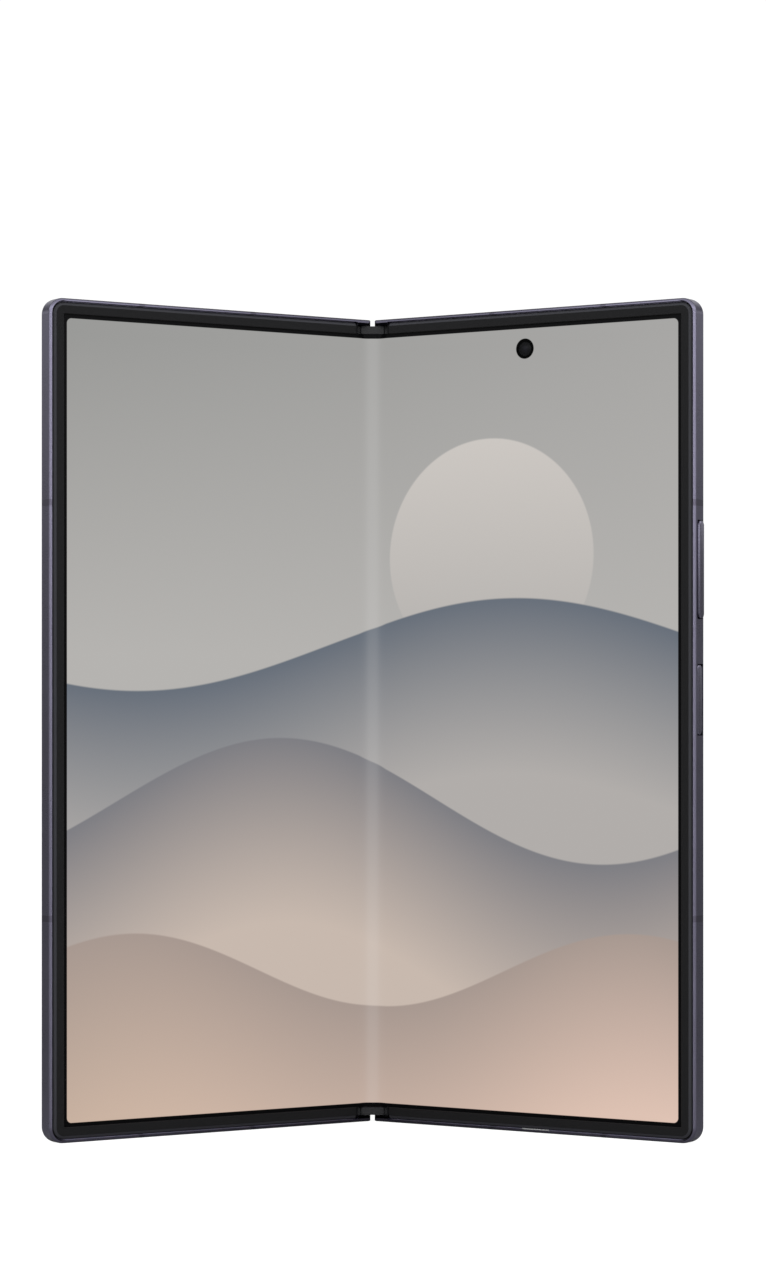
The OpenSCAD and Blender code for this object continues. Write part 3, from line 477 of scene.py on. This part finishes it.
def skin(levels, holes=()):
    """A closed solid from one outline at several levels, the last one its face. Each level is
    its points and its depth. Holes are outlines that go from the first level to the last."""
    bm = bmesh.new()

    def ring(points, depth):
        return [bm.verts.new((a, depth, b)) for a, b in points]

    def edges(loop):
        pairs = zip(loop, loop[1:] + loop[:1])
        return [bm.edges.get(pair) or bm.edges.new(pair) for pair in pairs]

    def wall(one, other):
        for k in range(len(one)):
            bm.faces.new((one[k - 1], one[k], other[k], other[k - 1]))

    rings = [ring(points, depth) for points, depth in levels]
    for one, other in zip(rings, rings[1:]):
        wall(one, other)
    walls = [[ring(hole, levels[k][1]) for k in (0, -1)] for hole in holes]
    for one, other in walls:
        wall(one, other)
    for k, cap in ((0, rings[0]), (1, rings[-1])):
        around = edges(cap)
        for pair in walls:
            around += edges(pair[k])
        if holes:
            bmesh.ops.triangle_fill(bm, use_beauty=True, edges=around)
        else:
            bm.faces.new(cap)
    bmesh.ops.recalc_face_normals(bm, faces=bm.faces)
    return bm


def made(name, bm, material, smooth=35):
    """The finished mesh as an object, smooth where its faces meet at less than that angle."""
    mesh = bpy.data.meshes.new(name)
    bm.to_mesh(mesh)
    bm.free()
    mesh.materials.append(material)
    mesh.shade_smooth()
    mesh.set_sharp_from_angle(angle=radians(smooth))
    piece = bpy.data.objects.new(name, mesh)
    bpy.context.scene.collection.objects.link(piece)
    return piece


def bend_share(side, reach, depth):
    """The share of the fold at which the blended screen holds a point of the flat sheet."""
    start = place_on(side, 0, FACE, 0, 0)
    path = place_on(side, BEND, FACE, 0) - start

    def excess(share):
        t = (place_on(side, reach, depth, 0, share) - start).dot(path) / path.length_squared
        t = min(max(t, 0), 1)
        return t * t * (3 - 2 * t) - share

    low, high = 0.0, 1.0
    halvings, nearly_whole = 40, 0.999
    for _ in range(halvings):
        half = (low + high) / 2
        if excess(half) > 0:
            low = half
        else:
            high = half
    return low if low < nearly_whole else 1.0


# The sheet carries its flat places in millimetres, and the picture on it is drawn in them.
MM = 1000
camera_middle, camera_hole = (0.0348, 0.1508), 0.0019
half_tall = TALL / 2 * MM
screen_glow, w = finish("screen_glow")
flat = w.node("Attribute", {"attribute_name": "flat"}, {}, 1)
across, up = (w.node("SeparateXYZ", {}, {"Vector": flat}, k) for k in (0, 2))

# The picture: a generic backdrop of three soft dunes under a pale disc, from grey to peach.
picture_wide, sky_low, sky_high = 136, 92, 60
right_way = (across / picture_wide + 0.5).share()
sky = right_way.tone(colour(152, 152, 150), colour(166, 165, 163))
picture = ((up - sky_low) / sky_high).share().tone(colour(180, 178, 175), sky)
disc_middle, disc_radius = (27, 111), 23
disc_across, disc_up = across - disc_middle[0], up - disc_middle[1]
far = w.sum("SQRT", disc_across ** 2.0 + disc_up ** 2.0)
veil = (disc_up / disc_radius * 0.5 + 0.5).share()
disc_tone = veil.tone(colour(178, 175, 172), colour(203, 198, 193))
picture = far.before(disc_radius, 3.0).tone(picture, disc_tone)
low_tone = right_way.tone(colour(200, 177, 160), colour(222, 194, 179))
for height, swing, pace, start, fade, crest_tone, foot_tone in (
    (94, 9, 27, 0.4, 34, colour(101, 109, 120), colour(176, 172, 169)),
    (64, 12, 23, 2.5, 36, colour(124, 124, 129), colour(199, 184, 173)),
    (31, 8, 18, 4.6, 34, colour(166, 151, 143), low_tone),
):
    below = w.sum("SINE", across / pace + start) * swing + height - up
    dune = (below / fade).share().tone(crest_tone, foot_tone)
    picture = (below * 3.0).share().tone(picture, dune)

# A painted highlight lies along the crease in a soft band, and the outermost strip of the sheet
# stays black.
ridge_wide, core_wide = 2.1, 1.3
painted_crease_band = w.sum("EXPONENT", (across / ridge_wide) ** 2.0 * -1.0)
painted_crease_core = w.sum("EXPONENT", (across / core_wide) ** 4.0 * -1.0)
# Painted highlight: the picture is mixed towards white along the crease.
picture = (0.035 * painted_crease_band + 0.03 * painted_crease_core).tone(picture, (1, 1, 1, 1))
lit_side, lit_end, lit_corner = 67.9, 3.7, 1.0
hole_rim = 0.01
crisp = 12.0
side_in = w.sum("MAXIMUM", w.sum("ABSOLUTE", across) - (lit_side - lit_corner), 0.0)
end_in = w.sum("ABSOLUTE", up - half_tall) - (half_tall - lit_end - lit_corner)
end_in = w.sum("MAXIMUM", end_in, 0.0)
corner = w.sum("SQRT", side_in ** 2.0 + end_in ** 2.0)
hole_across, hole_up = across - camera_middle[0] * MM, up - camera_middle[1] * MM
hole_far = w.sum("SQRT", hole_across ** 2.0 + hole_up ** 2.0)
lit = corner.before(lit_corner, crisp) * hole_far.after(camera_hole * MM + hole_rim, crisp)
glow = lit.tone((0, 0, 0, 1), picture)
coat(
    w,
    Base_Color=lit.tone(colour(8, 8, 9), colour(14, 14, 15)),
    Roughness=0.22 + 0.02 * painted_crease_band,
    Specular_IOR_Level=0.03,
    Emission_Color=glow,
    Emission_Strength=1.0,
)

# The sheet ends inside the surround, and lies back from the caps at the hinge's ends.
sheet_inset, sheet_corner = 0.0015, 0.0015
cap_reach, cap_high = 0.0042, 0.00295
edge = WIDE - sheet_inset
bottom, top = sheet_inset, TALL - sheet_inset
outline = [(0, cap_high), (cap_reach, cap_high), (cap_reach, bottom)]
outline += arc(edge - sheet_corner, bottom + sheet_corner, sheet_corner, -90, 0)
outline += arc(edge - sheet_corner, top - sheet_corner, sheet_corner, 0, 90)
outline += [(cap_reach, top), (cap_reach, TALL - cap_high), (0, TALL - cap_high)]
hole = circle(camera_middle, camera_hole)
bend_cuts = 27
for side, half in ((1, "right"), (-1, "left")):
    bm = skin([(outline, UNDER), (outline, FACE)], [hole] if side > 0 else [])
    for k in range(bend_cuts):
        bmesh.ops.bisect_plane(
            bm,
            geom=bm.verts[:] + bm.edges[:] + bm.faces[:],
            plane_co=(BEND * (k + 1) / bend_cuts, 0, 0),
            plane_no=(1, 0, 0),
        )
    flat_place = bm.verts.layers.float_vector.new("flat")
    for v in bm.verts:
        v[flat_place] = Vector((side * v.co.x, 0, v.co.z)) * MM
        share = bend_share(side, v.co.x, v.co.y)
        v.co = place_on(side, v.co.x, v.co.y, v.co.z, share)
    if side < 0:
        bmesh.ops.reverse_faces(bm, faces=bm.faces)
    sheet = made(half + "_screen", bm, screen_glow, smooth=30)
    place_on(side, 0, FACE, 0, 0)
    place_on(side, BEND, FACE, 0)
    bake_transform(sheet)
    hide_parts(half + "_display", "display_fold")

# Front camera: a lens behind the screen's hole, in a black ring that keeps stray light out.
# The ring is moulded, and the lens is coated glass that sits a little lower.
lens_coat, w = finish("front_lens")
ring_inner, iris_wide = 0.00138, 0.0009
radius = from_axis(w, camera_middle)
ring_share = w.sum("GREATER_THAN", radius, ring_inner)
painted_glint = (1 - radius / iris_wide).share()
# The lens is painted a little lighter towards its middle, a painted glint.
coat(
    w,
    Base_Color=ring_share.tone(painted_glint.tone(colour(24, 24, 25), colour(31, 31, 35)), colour(2, 2, 2)),
    Roughness=0.12 + 0.35 * ring_share,
    Specular_IOR_Level=0.02,
)


def turned(middle, profile, points=48):
    """A solid turned about an axis through a half, from radii and depths, face last."""
    return skin([(circle(middle, radius, points), depth) for radius, depth in profile])


def laid(name, bm, material, stands_for, body="right_half"):
    """A piece built on the flat right half, laid in the rest pose and fixed to its body."""
    for v in bm.verts:
        v.co = place_on(1, *v.co)
    piece = made(name, bm, material)
    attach(piece, body)
    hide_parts(stands_for)


profile = [
    (0.00185, 0.00098),
    (0.00185, 0.00050),
    (0.00181, 0.00046),
    (0.00142, 0.00046),
    (0.00132, 0.00056),
    (0.00130, 0.00062),
    (0.00100, 0.00057),
    (0.00060, 0.00053),
    (0.00020, 0.00051),
]
laid("front_lens", turned(camera_middle, profile), lens_coat, "front_camera_lens")

# Glass backs: a matt etched plate on the right half, and the glossy cover screen on the left.
# Both are toughened glass, bonded into the frames flush with their rims.
back_etch, w = finish("etched_back")
frost = grain(w, size=0.00007)
drift = grain(w, size=0.05, detail=1)
coat(
    w,
    Base_Color=(0.7 * drift + 0.3 * frost).tone(colour(40, 42, 58), colour(52, 54, 72)),
    Roughness=0.36 + 0.08 * frost,
    Specular_IOR_Level=0.5,
    Normal=bumps(w, frost, depth=0.00001),
)
dress(back_etch, "back_glass")

cover_gloss, w = finish("cover_gloss")
cover_middle, cover_lens, cover_rim = (0.0358, 0.1508), 0.0011, 0.0017
film_middle, film_wide, film_tall, film_corner = 0.0373, 0.066, 0.1522, 0.0012
radius = from_axis(w, cover_middle)
lens_share = w.sum("LESS_THAN", radius, cover_lens)
rim_share = w.sum("LESS_THAN", radius, cover_rim)
reach, _, height = along_half(w)
film_edge = w.sum("ABSOLUTE", reach - film_middle) - (film_wide / 2 - film_corner)
film_edge = w.sum("MAXIMUM", film_edge, 0.0)
film_end = w.sum("ABSOLUTE", height - TALL / 2) - (film_tall / 2 - film_corner)
film_end = w.sum("MAXIMUM", film_end, 0.0)
film_out = w.sum("SQRT", film_edge ** 2.0 + film_end ** 2.0)
film_share = w.sum("LESS_THAN", film_out, film_corner)
coat(
    w,
    Base_Color=film_share.tone(colour(6, 6, 7), colour(13, 14, 17)),
    Roughness=0.06 + 0.02 * film_share - 0.03 * lens_share,
    Specular_IOR_Level=0.5,
    Coat_Weight=0.3 * rim_share,
)
dress(cover_gloss, "cover_glass", "cover_display_panel")

# Camera island: a raised pill of anodised aluminium on the back of the right half.
# It is milled from solid with a rounded rim, and the lenses and the flash sit in its bores.
island_metal = anodised("island_metal", colour(88, 87, 102))
island = (0.0586, 0.1254)
island_wide, island_long, island_rim = 0.019, 0.056, 0.0004
back_face = 0.0042
island_top = back_face + 0.0011
lens_gap, lens_hole = 0.017, 0.00615
lens_middles = [(island[0], island[1] + k * lens_gap) for k in (-1, 0, 1)]
flash_middle, flash_hole = (0.0516, 0.1344), 0.0016


def pill(middle, wide, long, inset, steps=24):
    """An upright outline with round ends, drawn in by the inset."""
    across, up = middle
    radius = wide / 2 - inset
    run = (long - wide) / 2
    over = arc(across, up + run, radius, 0, 180, steps)
    return over + arc(across, up - run, radius, 180, 360, steps)


def rounded(outline_at, foot, face, rim, turns):
    """Levels of a pressed or milled piece: its foot, its wall, and a rim turned in to its face."""
    levels = [(outline_at(0), foot)]
    for turn in turns:
        inset = rim * (1 - cos(radians(turn)))
        levels.append((outline_at(inset), face - rim * (1 - sin(radians(turn)))))
    return levels


def island_outline(inset):
    return pill(island, island_wide, island_long, inset)


levels = rounded(island_outline, back_face, island_top, island_rim, range(0, 91, 18))
holes = [circle(middle, lens_hole) for middle in lens_middles]
holes.append(circle(flash_middle, flash_hole, 36))
laid("camera_plateau", skin(levels, holes), island_metal, "camera_island")

# Rear cameras: three lenses, each under its own glass in a turned metal ring on the island.
# The rings are anodised, the glass is dark, and the front lens shows under a coned black baffle.
ring_metal = anodised("ring_metal", colour(128, 126, 142), rough=0.2)
rear_lens, w = finish("rear_lens")
dome_radius, dome_high, dome_seat = 0.0021, 0.0005, -0.0004
baffle_radius, baffle_groove = 0.0044, 0.0002
reach, _, height = along_half(w)
step = w.sum("ROUND", (height - island[1]) / lens_gap)
across, up = reach - island[0], height - island[1] - step * lens_gap
radius = w.sum("SQRT", across ** 2.0 + up ** 2.0)
glass_share = w.sum("LESS_THAN", radius, dome_radius)
groove = w.sum("PINGPONG", radius / baffle_groove, 1.0)
baffle = w.sum("LESS_THAN", radius, baffle_radius) * (1 - glass_share)
dome_tone = (1 - radius / dome_radius).share().tone(colour(38, 20, 66), colour(16, 40, 62))
coat(
    w,
    Base_Color=glass_share.tone(colour(9, 9, 11), dome_tone),
    Roughness=0.08 + 0.3 * baffle,
    Specular_IOR_Level=0.5,
    Coat_Weight=0.6 * glass_share,
    Normal=bumps(w, groove * baffle, depth=0.00003),
)


def hoop(middle, section, points=96):
    """A ring around an axis through a half, from the radii and depths of its section."""
    bm = bmesh.new()
    loops = [
        [bm.verts.new((a, depth, b)) for a, b in circle(middle, radius, points)]
        for radius, depth in section
    ]
    for one, other in zip(loops, loops[1:] + loops[:1]):
        for n in range(points):
            bm.faces.new((one[n - 1], one[n], other[n], other[n - 1]))
    bmesh.ops.recalc_face_normals(bm, faces=bm.faces)
    return bm


def on_island(section):
    """The same radii, with heights above the island's face turned into depths."""
    return [(radius, island_top + rise) for radius, rise in section]


ring_section = [
    (0.00613, 0),
    (0.0072, 0),
    (0.0072, 0.0002),
    (0.00712, 0.00029),
    (0.00695, 0.00035),
    (0.0064, 0.00035),
    (0.00624, 0.00028),
    (0.00613, 0.00012),
]
lens_section = [
    (0.0061, -0.0005),
    (0.0061, 0.00012),
    (0.00602, 0.0002),
    (baffle_radius, 0.0002),
    (0.0043, 0.00016),
    (0.0024, dome_seat),
]
for turn in range(0, 90, 15):
    dome_rise = dome_high * sin(radians(turn))
    lens_section.append((dome_radius * cos(radians(turn)), dome_seat + dome_rise))
for number, middle in enumerate(lens_middles, 1):
    ring = hoop(middle, on_island(ring_section))
    laid(f"lens_ring_{number}", ring, ring_metal, "camera_lens_rings")
    glass = turned(middle, on_island(lens_section), 64)
    laid(f"rear_lens_{number}", glass, rear_lens, "camera_lens_glasses")

# Flash: a small lamp under a clear plastic lens beside the upper camera.
# The lens is moulded with fine rings that spread the light of a yellow diode.
flash_plastic, w = finish("flash_plastic")
flash_ring, diode_wide = 0.00013, 0.0009
flash_radius, flash_foot, flash_bulge = 0.00157, 0.00045, 0.00005
radius = from_axis(w, flash_middle)
rings = w.sum("PINGPONG", radius / flash_ring, 1.0)
diode = (1 - radius / diode_wide).share()
coat(
    w,
    Base_Color=diode.tone(colour(226, 222, 208), colour(232, 206, 120)),
    Roughness=0.15 + 0.15 * rings,
    Normal=bumps(w, rings, depth=0.00006),
)
profile = [(flash_radius, back_face - flash_foot), (flash_radius, island_top)]
for turn in (30, 60, 80):
    bulge = flash_bulge * sin(radians(turn))
    profile.append((flash_radius * cos(radians(turn)), island_top + bulge))
laid("flash_lamp", turned(flash_middle, profile, 36), flash_plastic, "flash_lens")

# Keys: the volume rocker stands proud of the right side wall, and the side key lies in a recess.
# Both are milled from the frame's aluminium, with a small chamfer, and anodised with it.
def painted_chamfer_shade(wire):
    """Painted shade on a key: the chamfer along its front side is darkened, which dulls its
    highlight.
    """
    chamfer_depth = 0.00136
    _, depth, _ = along_half(wire)
    return 0.5 * depth.before(chamfer_depth, SHARP)


# The keys' front chamfers carry painted shade.
key_metal = anodised("key_metal", colour(132, 129, 146), 0.24, painted_chamfer_shade)
key_depth, key_wide, key_rim = 0.0021, 0.002, 0.0002
flange_thick, flange_overlap = 0.00022, 0.0006


def key(middle, long, out, behind):
    """A key built lying on its back, then stood in the side wall: its cap and its flange."""

    def cap(inset):
        return pill((key_depth, middle), key_wide, long, inset, 12)

    foot = WIDE - behind
    face = WIDE + out
    bm = skin(rounded(cap, foot, face, key_rim, (0, 30, 60, 90)))
    side, end = key_wide / 2, long / 2 + flange_overlap
    flange = [
        (key_depth - side, middle - end),
        (key_depth + side, middle - end),
        (key_depth + side, middle + end),
        (key_depth - side, middle + end),
    ]
    other = skin([(flange, foot - flange_thick), (flange, foot)])
    spare = bpy.data.meshes.new("spare")
    other.to_mesh(spare)
    other.free()
    bm.from_mesh(spare)
    bpy.data.meshes.remove(spare)
    for v in bm.verts:
        v.co = (v.co.y, v.co.x, v.co.z)
    bmesh.ops.reverse_faces(bm, faces=bm.faces)
    return bm


rocker = key(middle=0.1075, long=0.01835, out=0.0004, behind=0.0020)
laid("rocker_key", rocker, key_metal, "volume_rocker", "volume_key")
power = key(middle=0.0831, long=0.0132, out=-0.00005, behind=0.00172)
laid("power_key", power, key_metal, "side_key", "power_key")

# Floor: a plain white sheet under the phone, which carries on into a white studio.
# The camera sees it as bright as the studio, and the phone's underside sees it dim.
floor_wide, floor_glow = 60.0, 0.92
bpy.ops.mesh.primitive_plane_add(size=floor_wide)
floor = bpy.context.object
floor.name = "floor"
paper, w = finish("white_paper")
dim, pale, white = (0.15, 0.15, 0.15, 1), (0.44, 0.44, 0.44, 1), (1, 1, 1, 1)
fibre = grain(w, size=0.0008, detail=3)
# Painted light and shade: the sheet's colour is paler in front of the phone and darker behind it.
lit_in_front = w.node("SeparateXYZ", {}, {"Vector": at_rest(w)}, 1).before(0.05, 7.0)
paper_tone = (0.06 * fibre).tone(lit_in_front.tone(dim, pale), white)
sheet = w.node("BsdfDiffuse", {}, {"Color": paper_tone})
bright = w.node("Emission", {}, {"Color": white, "Strength": floor_glow})
bright = w.node("AddShader", {}, {0: sheet, 1: bright})
seen = w.node("LightPath", {}, {}, 0)
w.node("OutputMaterial", {}, {"Surface": w.node("MixShader", {}, {0: seen, 1: sheet, 2: bright})})
floor.data.materials.append(paper)

# Light: a white tent around the table. Its cloth glows in front and behind, brighter towards the
# ceiling and less so at the very top. Low down it has a lit window in front and a softer strip on
# both sides, which the metal mirrors. The camera sees the tent as plain white.
world = bpy.data.worlds.new("studio")
world.use_nodes = True
world.node_tree.nodes.clear()
w = Wire(world.node_tree)
way = w.node("TexCoord", {}, {}, 0)
ahead, up = (w.node("SeparateXYZ", {}, {"Vector": way}, k) for k in (1, 2))
front = ahead.before(0.36, 7.0)
behind = ahead.after(0.5, 2.5)
low_down = up.after(0.07, 9.0) * up.before(0.27, 12.0)
window = ahead.before(-0.3, 5.0) * low_down
sides = ahead.after(0.2, 6.0) * ahead.before(0.75, 6.0) * low_down
ceiling = up.after(0.35, 8.0) * (1 - 0.75 * up.after(0.5, 4.0))
shade, window_light, side_light = 0.13, 4.7, 1.05
front_cloth, front_ceiling = 0.53, 2.1
back_cloth, back_ceiling = 0.38, 0.7
seen_light = 1.05
light = shade + front * (front_cloth + front_ceiling * ceiling)
light = light + behind * (back_cloth + back_ceiling * ceiling)
light = light + window_light * window + side_light * sides
seen = w.node("LightPath", {}, {}, 0)
tent = w.node("Background", {}, {"Color": (0.98, 0.985, 1, 1), "Strength": light})
plain = w.node("Background", {}, {"Color": white, "Strength": seen_light})
w.node("OutputWorld", {}, {"Surface": w.node("MixShader", {}, {0: seen, 1: tent, 2: plain})})
bpy.context.scene.world = world

# Camera: level, in front of the fold line and halfway up the phone, with a long lens.
# Its frame is shifted as the photograph's is, which puts the phone below and left of the middle.
photo_tall = 1280
shift_right, shift_up = 10.95, 80.6  # in the photograph's pixels
camera_away = 0.67124
focal_length, sensor_side = 97.93, 36  # in millimetres
optics = bpy.data.cameras.new("camera")
optics.lens = focal_length
optics.sensor_width = sensor_side
optics.shift_x = shift_right / photo_tall
optics.shift_y = shift_up / photo_tall
optics.clip_start = 0.01
camera = bpy.data.objects.new("camera", optics)
camera.location = (0, -camera_away, TALL / 2)
camera.rotation_euler = (radians(90), 0, 0)
bpy.context.scene.collection.objects.link(camera)
bpy.context.scene.camera = camera
bpy.context.scene.view_settings.view_transform = "Standard"
